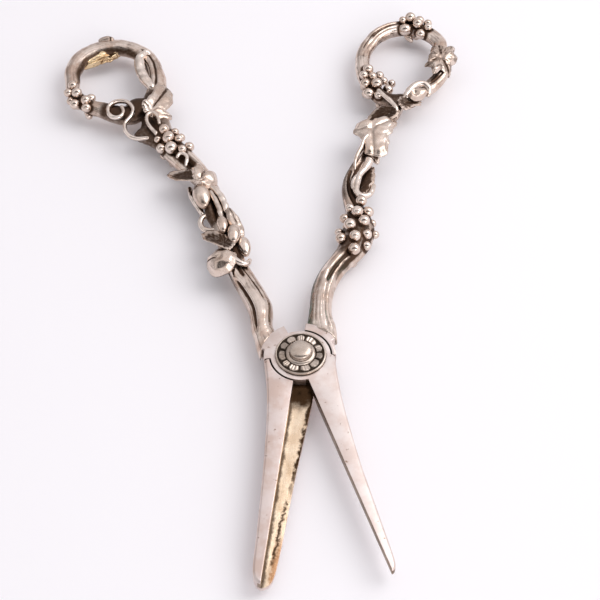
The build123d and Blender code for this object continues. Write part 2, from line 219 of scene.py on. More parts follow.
def ring_line(node, sign, count=180):
    """Centre line of a finger ring in the closed frame, with its width and height."""
    co, _, _ = welded(node)
    co = turned(co, -sign * HALF_OPENING)
    middle = (co.min(0) + co.max(0)) / 2
    angle = np.arctan2(co[:, 1] - middle[1], co[:, 0] - middle[0])
    radius = np.hypot(co[:, 0] - middle[0], co[:, 1] - middle[1])
    level = np.abs(co[:, 2] - LAP) < 0.9
    window = 0.09
    round_angles = np.linspace(-math.pi, math.pi, count, endpoint=False)
    inner, outer = [], []
    for w in round_angles:
        near = level & (np.abs(np.angle(np.exp(1j * (angle - w)))) < window)
        inner.append(radius[near].min() if near.any() else np.nan)
        outer.append(radius[near].max() if near.any() else np.nan)
    inner, outer = np.array(inner), np.array(outer)
    thick = np.nanmedian(outer - inner)
    whole = outer - inner > 0.6 * thick
    centre = np.where(whole, (inner + outer) / 2, outer - thick / 2)
    good = ~np.isnan(centre)
    centre = np.interp(round_angles, round_angles[good], centre[good], period=2 * math.pi)
    kernel = bell(np.arange(-6, 7), 0, 3)
    padded = np.concatenate([centre[-6:], centre, centre[:6]])
    centre = np.convolve(padded, kernel / kernel.sum(), "valid")
    line = np.stack([middle[0] + centre * np.cos(round_angles),
                     middle[1] + centre * np.sin(round_angles), np.full(count, LAP)], 1)
    return line, thick, co[:, 2].max() - co[:, 2].min()


# Corners of the CAD's leaf plates: share of the midrib and of the half width.
LEAF_PLATE = np.array([
    (0.0, 0.0), (-0.08, 0.55), (0.16, 0.98), (0.34, 0.66), (0.62, 0.92), (0.74, 0.42),
    (1.0, 0.0), (0.74, -0.42), (0.62, -0.92), (0.34, -0.66), (0.16, -0.98), (-0.08, -0.55)])


def leaf_frame(node):
    """Base, midrib vector, half-width vector and upward normal of a CAD leaf plate."""
    b = bmesh.new()
    b.from_mesh(frame["nodes"][node].data)
    bmesh.ops.remove_doubles(b, verts=b.verts, dist=1e-6)
    bmesh.ops.dissolve_limit(b, angle_limit=0.01, verts=b.verts, edges=b.edges)
    faces = [f for f in b.faces if len(f.verts) == len(LEAF_PLATE) and f.normal.z > 0]
    face = max(faces, key=lambda f: f.calc_area())
    corners = np.array([v.co for v in face.verts]) * 1000
    normal = np.array(face.normal)
    b.free()
    best = None
    for order in (corners, corners[::-1]):
        for shift in range(len(LEAF_PLATE)):
            rolled = np.roll(order, shift, axis=0)
            system = np.column_stack([np.ones(len(LEAF_PLATE)), LEAF_PLATE])
            answer, *_ = np.linalg.lstsq(system, rolled, rcond=None)
            error = np.abs(system @ answer - rolled).max()
            if best is None or error < best[0]:
                best = (error, answer)
    base, midrib, half = best[1]
    half = unit(np.cross(normal, midrib)) * np.linalg.norm(half)
    return base, midrib, half, normal


# ---- building pieces
def grid_faces(rows, columns, close_rows=False):
    """Faces of a grid of points that is closed round its columns."""
    faces = []
    for i in range(rows if close_rows else rows - 1):
        a, b = i * columns, ((i + 1) % rows) * columns
        for j in range(columns):
            k = (j + 1) % columns
            faces.append((a + j, a + k, b + k, b + j))
    return faces


def full_circle(count):
    """Angles in radians at even steps, for a section that closes on itself."""
    return np.linspace(0, 2 * math.pi, count, endpoint=False)


def revolved(radius, height, lon):
    """Points of a profile turned about the vertical axis, at the angles lon."""
    return np.stack([np.outer(radius, np.cos(lon)), np.outer(radius, np.sin(lon)),
                     np.outer(height, np.ones(len(lon)))], 2)


def tube_faces(rows, columns, base=0):
    """The same with a flat cap at both ends; base is the number of the first point."""
    last = (rows - 1) * columns
    faces = grid_faces(rows, columns) + [tuple(range(columns)), tuple(range(last, last + columns))]
    return [tuple(base + k for k in face) for face in faces]


def place(name, mesh, body, node):
    """The mesh as a piece in place of a CAD node, riding on the node's body."""
    piece = bpy.data.objects.new(name, mesh)
    bpy.context.scene.collection.objects.link(piece)
    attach(piece, body)
    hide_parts(node)


def add_piece(name, body, node, points, faces, material, patina_and_shade):
    """A smooth mesh in place of a CAD node. The darkening is 0 to 1 for each point, patina and painted shade
    together.
    """
    mesh = bpy.data.meshes.new(name)
    mesh.from_pydata((np.asarray(points) * METRE).tolist(), [], faces)
    mesh.materials.append(material)
    layer = mesh.attributes.new("patina_and_shade", "FLOAT", "POINT")
    layer.data.foreach_set("value", np.clip(patina_and_shade, 0, 1).astype(np.float32))
    mesh.validate()
    b = bmesh.new()
    b.from_mesh(mesh)
    bmesh.ops.recalc_face_normals(b, faces=b.faces)
    b.to_mesh(mesh)
    b.free()
    mesh.shade_smooth()
    place(name, mesh, body, node)


def resampled(line, spacing, closed=False):
    """Points at even spacing along a line."""
    points = np.vstack([line, line[:1]]) if closed else line
    steps = np.linalg.norm(np.diff(points, axis=0), axis=1)
    s = np.concatenate([[0], np.cumsum(steps)])
    count = max(int(s[-1] / spacing), 8)
    t = np.linspace(0, s[-1], count, endpoint=not closed)
    return np.stack([np.interp(t, s, points[:, k]) for k in range(3)], 1)


def softened(line, passes):
    """A line with its kinks eased, ends kept."""
    out = line.copy()
    for _ in range(passes):
        out[1:-1] = (out[:-2] + 2 * out[1:-1] + out[2:]) / 4
    return out


def tangents(line, closed=False):
    if closed:
        return unit(np.roll(line, -1, 0) - np.roll(line, 1, 0))
    return unit(np.gradient(line, axis=0))


def strand_shape(theta, s, strands):
    """Outline of several strands lying side by side, as a share of the full radius."""
    core = 0.5
    sharpness = 12
    total = np.full(np.broadcast(theta, s).shape, core ** sharpness)
    for phase, twist, offset, size, sway in strands:
        middle = phase + twist * s + sway * np.sin(s * 0.23 + phase)
        turn = np.radians(wrapped(theta - middle))
        inside = size ** 2 - (offset * np.sin(turn)) ** 2
        edge = offset * np.cos(turn) + np.sqrt(np.maximum(inside, 0))
        total += np.where((inside > 0) & (edge > 0), edge, 0) ** sharpness
    return total ** (1 / sharpness)


def vine(name, body, sign, node, line, width, height, strands, grooves, shade_bands, calm, seed, berries,
         around=112, closed=False, knots=(), roughness=0.02, foot=0.0):
    """A gnarled trunk or ring of several strands along a line in the closed frame.

    strands: phase, twist per mm, offset, size and sway of each. grooves: start, end, angles at both,
    cut and spread. knots: place, angle, rise, length and spread. The bands of painted shade: start,
    end, angle, spread and darkness. calm: place and strength of the strands. Angles are in degrees
    round the section.
    """
    line = resampled(line, 0.16, closed)
    n = len(line)
    run = np.linspace(0, 1, n, endpoint=not closed)
    s = run * np.linalg.norm(np.diff(line, axis=0), axis=1).sum()
    width = np.interp(run, np.linspace(0, 1, len(width)), width)
    height = np.interp(run, np.linspace(0, 1, len(height)), height)
    along = tangents(line, closed)
    side = unit(np.stack([along[:, 1], -along[:, 0], np.zeros(n)], 1))
    up = np.cross(side, along)
    theta = np.linspace(0, 360, around, endpoint=False)
    T, S = np.meshgrid(theta, s)
    shape = strand_shape(T, S, strands)
    shape = shape / shape.max()
    strength = np.interp(s, [c[0] for c in calm], [c[1] for c in calm])[:, None]
    shape = 1 - (1 - shape) * strength
    depth = 1 - shape
    for start, end, from_angle, to_angle, cut, spread in grooves:
        t = np.clip((S - start) / (end - start), 0, 1)
        middle = from_angle + (to_angle - from_angle) * t
        mark = bell(wrapped(T - middle), 0, spread) * between(S, start, end, 1.2)
        shape = shape * (1 - cut * mark)
        depth = np.maximum(depth, mark * cut * 1.6)
    for at, angle, rise, length, spread in knots:
        shape = shape * (1 + rise * bell(S, at, length) * bell(wrapped(T - angle), 0, spread))
    rad = np.radians(T)
    across, lift = np.cos(rad) * width[:, None] / 2, np.sin(rad) * height[:, None] / 2

    def surface(share):
        sideways, upwards = (across * share)[..., None], (lift * share)[..., None]
        return line[:, None] + side[:, None] * sideways + up[:, None] * upwards

    smooth_points = surface(shape)
    bark = ripple(smooth_points, 5.5, seed) + 0.35 * ripple(smooth_points, 2.2, seed + 1)
    fine = np.sin(np.radians(T * 17) + ripple(smooth_points, 9, seed + 2) * 3)
    points = surface(shape * (1 + roughness * (bark + fine * 0.25)))
    # Darker in the valleys between strands, in the grooves and on sunken lumps: the silver's patina there
    # together with painted shade.
    patina_and_shade = smooth(0.05, 0.26, depth)
    patina_and_shade = patina_and_shade + 0.35 * smooth(0.3, 1.2, -bark) + 0.22 * smooth(0.4, 0.95, -fine)
    # Painted shade in bands along the stem or ring, on its shaded sides and inner face.
    for start, end, angle, spread, dark in shade_bands:
        mark = bell(wrapped(T - angle), 0, spread) * between(S, start, end, 2)
        patina_and_shade = np.maximum(patina_and_shade, dark * mark)
    if foot:
        # The first 4 mm of a stem are drawn down on to its collar's circle.
        edge = np.sqrt(foot ** 2 - np.clip(points[..., 0], 0.3 - foot, foot - 0.3) ** 2)
        first, depth_in = points[0, :, 1].mean(), 4.0
        t = np.clip((points[..., 1] - first) / depth_in, None, 1)
        points[..., 1] = np.where(t < 1, edge + t * (first + depth_in - edge), points[..., 1])
    points = turned(points, sign * HALF_OPENING)
    # Painted shade close to the grapes, where they sit against the stem or ring.
    for centre, radius in berries:
        gap = np.linalg.norm(points - centre, axis=2) - radius
        patina_and_shade = np.maximum(patina_and_shade, 0.95 * smooth(1.5, 0.5, gap))
    faces = grid_faces(n, around, close_rows=True) if closed else tube_faces(n, around)
    add_piece(name, body, node, points.reshape(-1, 3), faces, VINE, patina_and_shade.ravel())


def tendril(name, body, node, taper=(0.8, 0.8), flat=1.0, swell=1.0):
    """A tendril or side shoot that follows its CAD tube, thinning towards its ends."""
    around, spacing = 20, 0.12
    line, radius = tube_route(node)
    line = softened(resampled(line, 0.5), 3)
    line = resampled(line, spacing)
    n = len(line)
    along = tangents(line)
    up = np.tile([0.0, 0.0, 1.0], (n, 1))
    side = unit(np.cross(along, up))
    up = np.cross(side, along)
    run = np.linspace(0, 1, n)
    arc = run * n * spacing
    from_end = np.clip(np.minimum(arc, arc[-1] - arc) / radius, 0, 1)
    cap = np.sqrt(np.clip(1 - (1 - from_end) ** 2, 0.02, 1))
    thinning = (1 - taper[0]) * (1 - smooth(0, 0.3, run)) + (1 - taper[1]) * smooth(0.6, 1, run)
    thick = (radius * swell * cap * (1 - thinning))[:, None, None]
    theta = full_circle(around)
    ring = np.stack([np.cos(theta), np.sin(theta) * flat], 1)
    points = line[:, None] + thick * (side[:, None] * ring[None, :, :1] + up[:, None] * ring[None, :, 1:])
    points += unit(points - line[:, None]) * (0.06 * radius * ripple(points, 2.2, 3))[..., None]
    # Painted shade: each tendril is darker on its underside.
    patina_and_shade = np.tile(smooth(0.2, -0.8, np.sin(theta)) * 0.9, (n, 1))
    add_piece(name, body, node, points.reshape(-1, 3), tube_faces(n, around), TENDRIL, patina_and_shade.ravel())


def berries_of(node):
    """Centre and radius of each grape of a CAD node."""
    found = []
    for part in loose_parts(node):
        low, high = part.min(0), part.max(0)
        found.append(((low + high) / 2, (high[2] - low[2]) / 2))
    return found


def grape_bunch(name, body, node, axis_line, seed):
    """Cast grapes in place of the node's spheres, a little oblong, with painted shade on the side towards
    their stem.
    """
    grow = 1.12
    rows, columns = 15, 26
    points, faces, patina_and_shade = [], [], []
    rng = np.random.default_rng(seed)
    polar = np.linspace(0.02, math.pi - 0.02, rows)
    ball = revolved(np.sin(polar), np.cos(polar), full_circle(columns)).reshape(-1, 3)
    for centre, radius in berries_of(node):
        foot = axis_line[np.argmin(np.linalg.norm(axis_line - centre, axis=1))]
        out = unit(centre - foot)
        stretch = unit(rng.normal(size=3) * (1, 1, 0.3))
        local = ball * grow + stretch * (ball @ stretch)[:, None] * rng.uniform(-0.04, 0.14)
        local = local * (1 + 0.015 * ripple(ball * radius + centre, 1.6, seed))[:, None]
        if centre[2] < LAP - 0.3:
            centre, radius = centre - out * 0.7, radius * 0.85
        berry = centre + local * radius
        berry[:, 2] = np.clip(berry[:, 2], centre[2] - radius, TOP)
        faces += tube_faces(rows, columns, base=len(points) * len(ball))
        points.append(berry)
        # Painted shade: each grape is darker on the side towards the stem or ring.
        patina_and_shade.append(smooth(-0.25, -0.75, ball @ out))
    add_piece(name, body, node, np.vstack(points), faces, GRAPE, np.concatenate(patina_and_shade))


def outline_at(corners, phi):
    """An outline's reach in each direction phi, eased between the corners (angle, reach)."""
    corners = sorted(corners)
    (first, first_reach), (last, last_reach) = corners[0], corners[-1]
    ring = [(last - 360, last_reach), *corners, (first + 360, first_reach)]
    angles, share = np.array(ring, float).T
    k = np.clip(np.searchsorted(angles, phi, side="right") - 1, 0, len(angles) - 2)
    return share[k] + (share[k + 1] - share[k]) * smooth(angles[k], angles[k + 1], phi)


def leaf(name, body, node, material, edge, veins, teeth=0.03, cup=0.0, fold=0.0, droop=0.0,
         hug=0.0, wave=0.1, puff=0.28, crease=0.45, hollow=0.0, thick=0.5, stalk=0.14, wide=1.0,
         stretch=1.0, tilt=0.0, dull=0.0, dome=0.0, move=(0, 0, 0)):
    """A cast leaf on the CAD plate's base, midrib and width.

    edge: angle from the midrib in degrees and reach, as a share of the longest lobe. veins: angles.
    cup, fold, droop, hug, wave, puff, dome, thick and move are in mm, tilt is in degrees about the
    midrib. hollow is the painted shade inside the rim, and dull darker blotches of patina over the whole
    face.
    """
    seed = 5
    base, midrib, half, normal = leaf_frame(node)
    base = base + np.array(move)
    length, span = np.linalg.norm(midrib), np.linalg.norm(half)
    along, across = midrib / length, half / span
    c, d = math.cos(math.radians(tilt)), math.sin(math.radians(tilt))
    across, normal = across * c + normal * d, normal * c - across * d
    rings, around = 20, 180
    phi = np.linspace(-180, 180, around, endpoint=False)
    outline = outline_at(edge, phi) * (1 + teeth * np.abs(np.sin(np.radians(phi * 7.5 + 20))))
    x0, y0 = outline * np.cos(np.radians(phi)), outline * np.sin(np.radians(phi))
    sx, sy = length * (1 - stalk) * stretch / x0.max(), span * wide / np.abs(y0).max()
    rho = (np.linspace(0.0, 1, rings) ** 0.85)[:, None]
    x, y = rho * x0 * sx, rho * y0 * sy
    far = np.hypot(x, y)
    valley = np.zeros_like(x)
    for angle in veins:
        ray = math.atan2(math.sin(math.radians(angle)) * sy, math.cos(math.radians(angle)) * sx)
        off = np.abs(-math.sin(ray) * x + math.cos(ray) * y)
        ahead = smooth(0, 0.8, math.cos(ray) * x + math.sin(ray) * y)
        valley = np.maximum(valley, bell(off, 0, 0.30 + 0.04 * far) * ahead)
    fade = smooth(0, 1.5, far) * (1 - 0.35 * smooth(0.8, 1, rho))
    z = puff * ((1 - crease * valley) * fade - 0.9 * smooth(0.75, 1.0, rho))
    z += cup * (far / max(length, 1)) ** 2 + dome * (1 - rho ** 2)
    z += fold * np.abs(y) / span - droop * (x / length) ** 2 - hug * (y / span) ** 2
    z += wave * np.sin(np.radians(phi * 3 + 40 * seed)) * rho ** 2
    centre = base + along * stalk * length
    face = centre + x[..., None] * along + y[..., None] * across + z[..., None] * normal
    face += normal * (0.10 * ripple(face, 3.2, seed) + 0.03 * ripple(face, 1.2, seed + 1))[..., None]
    half_thick = thick / 2 * (1 - 0.5 * rho ** 4)
    top = face + normal * half_thick[..., None]
    under = face - normal * half_thick[..., None]
    points = np.vstack([top[1:].reshape(-1, 3), under[1:][::-1].reshape(-1, 3), top[:1, 0], under[:1, 0]])
    points[:, 2] = np.clip(points[:, 2], 0.2, TOP)
    count = 2 * (rings - 1)
    faces = grid_faces(count, around)
    a, b = count * around, count * around + 1
    for j in range(around):
        k = (j + 1) % around
        faces.append((a, k, j))
        faces.append((b, (count - 1) * around + j, (count - 1) * around + k))
    ribs = 0.5 + 0.5 * ripple(np.stack([np.radians(phi) * 2 + 0 * x, 0.3 * x, 0.3 * y], 2), 0.5, seed)
    # Darker along the vein creases: patina there together with painted shade. The blotches are patina.
    top_dark = smooth(0.35, 1.0, valley) * fade * crease + dull * smooth(0.2, 0.8, ribs)
    inside_rim = 1 - smooth(0.66 + 0.12 * ribs, 0.88 + 0.08 * ribs, rho)
    # Painted shade inside the rim of a cupped leaf.
    top_dark = top_dark + hollow * inside_rim * (0.9 + 0.1 * ribs)
    # Painted shade on the underside.
    underside_shade = np.full_like(x, 0.9) * (1 - 0.6 * smooth(0.9, 1, rho))
    dark = np.concatenate([top_dark[1:].ravel(), underside_shade[1:][::-1].ravel(), [0.4, 0.9]])
    add_piece(name, body, node, points, faces, material, dark)


def buds(name, body, node, crease=0.0, grow=1.0, longer=1.0, dull=0.0):
    """Egg-shaped buds or hips, each with a small calyx crease near its stalk, darker there, and painted
    shade towards the bottom.
    """
    rows, columns = 26, 30
    points, faces, patina_and_shade = [], [], []
    for part in loose_parts(node):
        centre, axis, half, radius = long_axis(part)
        if axis[1] > 0:
            axis = -axis
        centre = centre + axis * half * (longer - 1)
        half = half * longer
        across = unit(np.cross(axis, [0.0, 0.0, 1.0]))
        third = np.cross(axis, across)
        t = np.linspace(-0.995, 0.995, rows)
        lon = full_circle(columns)
        profile = grow * radius * np.sqrt(1 - t ** 2) * (1 - 0.16 * t) / 1.05
        profile *= 1 - crease * bell(t, -0.55, 0.09)
        body_points = centre + t[:, None, None] * half * axis + profile[:, None, None] * (
            np.cos(lon)[None, :, None] * across + np.sin(lon)[None, :, None] * third)
        body_points += unit(body_points - centre) * (0.05 * ripple(body_points, 2.0, 8))[..., None]
        body_points[..., 2] = np.minimum(body_points[..., 2], TOP)
        faces += tube_faces(rows, columns, base=len(points) * rows * columns)
        points.append(body_points.reshape(-1, 3))
        # Darker in the calyx crease: patina there together with painted shade.
        dark = 0.8 * np.outer(bell(t, -0.55, 0.08), np.ones(columns)) * (crease > 0)
        # Painted shade: darker towards the bottom of each bud.
        dark = dark + smooth(-0.2, -1.1, body_points[..., 2] - centre[2])
        patina_and_shade.append(dark.ravel() + dull)
    add_piece(name, body, node, np.vstack(points), faces, LEAF, np.concatenate(patina_and_shade))


# ---- materials
class Graph:
    """The nodes of one shader tree. A source is a socket, or a plain number or colour."""

    def __init__(self, tree):
        self.tree = tree

    def new(self, kind, **values):
        """A node with its settings, or else its inputs, set to the values."""
        node = self.tree.nodes.new(kind)
        for key, value in values.items():
            if hasattr(node, key):
                setattr(node, key, value)
            else:
                node.inputs[key].default_value = value
        return node

    def join(self, source, target):
        self.tree.links.new(source, target)

    def blend(self, factor, first, second):
        mix = self.new("ShaderNodeMix", data_type="RGBA")
        self.join(factor, mix.inputs["Factor"])
        for value, socket in ((first, mix.inputs[6]), (second, mix.inputs[7])):
            if isinstance(value, tuple):
                socket.default_value = (*value, 1)
            else:
                self.join(value, socket)
        return mix.outputs[2]

    def ranged(self, source, low, high, to_low=0.0, to_high=1.0):
        """The source between low and high carried smoothly to to_low and to_high."""
        node = self.new("ShaderNodeMapRange", interpolation_type="SMOOTHSTEP",
                        **{"From Min": low, "From Max": high, "To Min": to_low, "To Max": to_high})
        self.join(source, node.inputs["Value"])
        return node.outputs["Result"]

    def maths(self, operation, first, second=None, third=None, clamp=False):
        node = self.new("ShaderNodeMath", operation=operation, use_clamp=clamp)
        for value, socket in zip((first, second, third), node.inputs):
            if isinstance(value, (int, float)):
                socket.default_value = value
            elif value is not None:
                self.join(value, socket)
        return node.outputs[0]

    def times(self, first, *others):
        for other in others:
            first = self.maths("MULTIPLY", first, other)
        return first

    def apart(self, vector):
        """The X, Y and Z of a vector."""
        split = self.new("ShaderNodeSeparateXYZ")
        self.join(vector, split.inputs[0])
        return (split.outputs[k] for k in "XYZ")

    def length(self, vector):
        node = self.new("ShaderNodeVectorMath", operation="LENGTH")
        self.join(vector, node.inputs[0])
        return node.outputs["Value"]

    def clouds(self, coordinates, size_mm, detail=4.0, rough=0.6):
        node = self.new("ShaderNodeTexNoise", Scale=1000 / size_mm, Detail=detail, Roughness=rough)
        self.join(coordinates, node.inputs["Vector"])
        return node.outputs["Fac"]


def flange_stain_and_shade(graph, coordinates, colour):
    """Colour on the flange: painted shade on the slope under the disc and in the corner by the wall, brown
    stain along the free edge, a streak, rust at the tip.
    """
    spin = graph.new("ShaderNodeVectorRotate", rotation_type="Z_AXIS", Angle=HALF_OPENING)
    graph.join(coordinates, spin.inputs["Vector"])
    x, y, _ = graph.apart(spin.outputs[0])
    wobble = graph.ranged(graph.clouds(coordinates, 2.2, 5.0, 0.7), 0.25, 0.75, -1.0, 1.0)

    def wavering(source, amount):
        return graph.maths("ADD", source, graph.times(wobble, amount))

    # The free edge is close to the line x = 4.7 mm + 0.055 y.
    inset = wavering(graph.maths("ADD", graph.maths("MULTIPLY_ADD", y, -0.055, -0.0047), x), 0.0006)
    down = wavering(y, 0.004)
    rim = graph.times(graph.ranged(inset, -0.0009, -0.0002), graph.ranged(down, -0.040, -0.026))
    # Painted shade in the corner by the wall.
    corner = graph.ranged(wavering(x, 0.0003), -0.0006, 0.0001, 0.85, 0.0)
    # Painted shade on the slope under the disc.
    shade_under_disc = graph.ranged(wavering(graph.length(coordinates), 0.0008), 0.0115, 0.0150, 1.0, 0.0)
    # The painted shade joins the brown stain along the free edge.
    dark = graph.maths("MAXIMUM", graph.maths("MAXIMUM", rim, corner), shade_under_disc, clamp=True)
    veil = graph.ranged(graph.clouds(coordinates, 7.0, 5.0), 0.50, 0.70, 0.0, 0.55)
    colour = graph.blend(veil, colour, (0.42, 0.27, 0.14))
    rust = graph.times(graph.ranged(down, -0.054, -0.040, 1.0, 0.0),
                       graph.ranged(wavering(x, 0.0006), 0.0000, 0.0010), 0.8)
    colour = graph.blend(rust, colour, (0.32, 0.135, 0.045))
    from_streak = graph.maths("ABSOLUTE", graph.maths("ADD", inset, 0.00085))
    streak = graph.times(graph.ranged(from_streak, 0.00012, 0.00060, 1.0, 0.0),
                         graph.ranged(down, -0.040, -0.035, 1.0, 0.0),
                         graph.ranged(down, -0.055, -0.050),
                         graph.ranged(graph.clouds(coordinates, 1.6), 0.30, 0.44), 0.95)
    # Dark brown for the stains, the streak and the painted shade.
    return graph.blend(graph.maths("MAXIMUM", dark, streak), colour, (0.048, 0.025, 0.012))


def green_traces(graph, coordinates, factor, strength, colour):
    """Verdigris in the dark places round the right collar."""
    x, y, _ = graph.apart(coordinates)
    green = graph.times(graph.ranged(graph.length(coordinates), 0.012, 0.036, 1.0, 0.0),
                        graph.ranged(x, -0.002, 0.003), graph.ranged(y, -0.002, 0.004), factor,
                        graph.ranged(graph.clouds(coordinates, 3.0), 0.35, 0.60))
    green = graph.maths("MULTIPLY", green, strength, clamp=True)
    return graph.blend(green, colour, (0.07, 0.20, 0.145))


def silver(name, light, warm, dark, occlusion_mm, occluded, gloss, bump, verdigris=0.0, spots=0.0,
           edge_stain_and_shade=False, grain=0.0):
    """Worn silver: bright where it is rubbed; brown to black in hollows and where parts meet, partly patina
    and partly painted shade.
    """
    material = bpy.data.materials.new(name)
    material.use_nodes = True
    graph = Graph(material.node_tree)
    shader = graph.tree.nodes["Principled BSDF"]
    coordinates = graph.new("ShaderNodeTexCoord").outputs["Object"]
    attribute = graph.new("ShaderNodeAttribute", attribute_name="patina_and_shade")
    # Ambient occlusion darkens the colour in hollows, corners and where parts meet: patina there together
    # with painted shade.
    ao_darkening = graph.new("ShaderNodeAmbientOcclusion", samples=6, Distance=occlusion_mm * METRE)
    occlusion = graph.ranged(ao_darkening.outputs["AO"], occluded[0], occluded[1], 1.0, 0.0)
    broad = graph.clouds(coordinates, 5.0)
    fine = graph.clouds(coordinates, 0.7, 3.0)
    factor = graph.maths("ADD", graph.maths("MAXIMUM", occlusion, attribute.outputs["Fac"]),
                         graph.maths("MULTIPLY_ADD", fine, 0.5, -0.25))
    factor = graph.ranged(factor, 0.12, 0.92)
    colour = graph.blend(factor, graph.blend(graph.ranged(broad, 0.36, 0.64), light, warm), dark)
    if spots:
        speck = graph.ranged(graph.clouds(coordinates, 1.3, 2.0), 0.66, 0.76, 0.0, spots)
        colour = graph.blend(speck, colour, (0.26, 0.14, 0.075))
    if edge_stain_and_shade:
        colour = flange_stain_and_shade(graph, coordinates, colour)
    if verdigris:
        colour = green_traces(graph, coordinates, factor, verdigris, colour)
    graph.join(colour, shader.inputs["Base Color"])
    shader.inputs["Metallic"].default_value = 1.0
    rough = graph.ranged(graph.maths("ADD", factor, fine), 0.2, 1.6, gloss[0], gloss[1] + 0.25)
    graph.join(rough, shader.inputs["Roughness"])
    if grain:
        stretch = graph.new("ShaderNodeMapping", Scale=(9.0, 0.5, 9.0))
        graph.join(coordinates, stretch.inputs["Vector"])
        height = graph.maths("MULTIPLY_ADD", graph.clouds(stretch.outputs[0], 2.0, 4.0), grain,
                             graph.clouds(coordinates, 0.8, 4.0))
    else:
        height = graph.maths("ADD", graph.clouds(coordinates, 0.35, 3.0),
                             graph.clouds(coordinates, 1.8, 3.0))
    relief = graph.new("ShaderNodeBump", Strength=bump, Distance=0.00012)
    graph.join(height, relief.inputs["Height"])
    graph.join(relief.outputs["Normal"], shader.inputs["Normal"])
    return material


# Dark brown that every silver darkens to: the patina together with painted shade.
PATINA_AND_SHADE = (0.074, 0.042, 0.027)
VINE = silver("vine_silver", (0.80, 0.68, 0.60), (0.58, 0.43, 0.345), PATINA_AND_SHADE, occlusion_mm=1.5,
              occluded=(0.20, 0.70), gloss=(0.07, 0.18), bump=0.13, verdigris=0.6)
GRAPE = silver("grape_silver", (0.80, 0.685, 0.61), (0.67, 0.535, 0.45), PATINA_AND_SHADE, occlusion_mm=0.8,
               occluded=(0.12, 0.54), gloss=(0.10, 0.20), bump=0.06)
LEAF = silver("leaf_silver", (0.77, 0.65, 0.57), (0.62, 0.485, 0.40), PATINA_AND_SHADE, occlusion_mm=1.1,
              occluded=(0.16, 0.60), gloss=(0.18, 0.32), bump=0.2)
TENDRIL = silver("tendril_silver", (0.86, 0.755, 0.68), (0.72, 0.60, 0.52), PATINA_AND_SHADE, occlusion_mm=0.8,
                 occluded=(0.14, 0.52), gloss=(0.13, 0.24), bump=0.1)
GOLD = silver("gilt_leaf", (0.88, 0.69, 0.44), (0.62, 0.42, 0.24), (0.10, 0.05, 0.02), occlusion_mm=1.0,
              occluded=(0.16, 0.60), gloss=(0.12, 0.26), bump=0.4)
blade_look = dict(dark=(0.12, 0.075, 0.05), occlusion_mm=1.2, occluded=(0.30, 0.90), gloss=(0.30, 0.44),
                  bump=0.12, grain=0.6, verdigris=0.8)
BLADE = silver("blade_silver", (0.84, 0.745, 0.705), (0.745, 0.615, 0.56), spots=0.8, **blade_look)
STAINED = silver("stained_blade_silver", (0.79, 0.68, 0.64), (0.69, 0.54, 0.475), spots=1.0, **blade_look)
# Painted shade: the rebate walls get a dark brown copy of the silver.
SHADED_WALL = silver("blade_rebate_shade", (0.36, 0.27, 0.20), (0.22, 0.15, 0.10), (0.05, 0.03, 0.02), occlusion_mm=2.0,
              occluded=(0.3, 0.95), gloss=(0.30, 0.45), bump=0.2)
GILT = silver("gilt_flange", (0.85, 0.69, 0.52), (0.72, 0.545, 0.385), (0.05, 0.028, 0.012),
              occlusion_mm=1.5, occluded=(0.3, 0.9), gloss=(0.24, 0.4), bump=0.2, edge_stain_and_shade=True, grain=0.8)
PIVOT = silver("pivot_silver", (0.64, 0.545, 0.475), (0.48, 0.39, 0.32), (0.05, 0.035, 0.025),
               occlusion_mm=1.1, occluded=(0.2, 0.8), gloss=(0.24, 0.38), bump=0.1)


# ---- stems
def extended(rows, low_end, high_end):
    """Stem slices carried on a little at both ends, along their own direction."""
    first = rows[0] + (rows[0] - rows[2]) / np.linalg.norm((rows[0] - rows[2])[:3]) * low_end
    last = rows[-1] + (rows[-1] - rows[-3]) / np.linalg.norm((rows[-1] - rows[-3])[:3]) * high_end
    first[3:], last[3:] = rows[0, 3:], rows[-1, 3:]
    return np.vstack([first, rows, last])


BUNCHES = {"left": ("left_ring_grapes", "left_stem_grapes"),
           "right": ("right_side_grapes", "right_top_grapes", "right_stem_grapes")}
berries = {side: [b for node in bunches for b in berries_of(node)] for side, bunches in BUNCHES.items()}
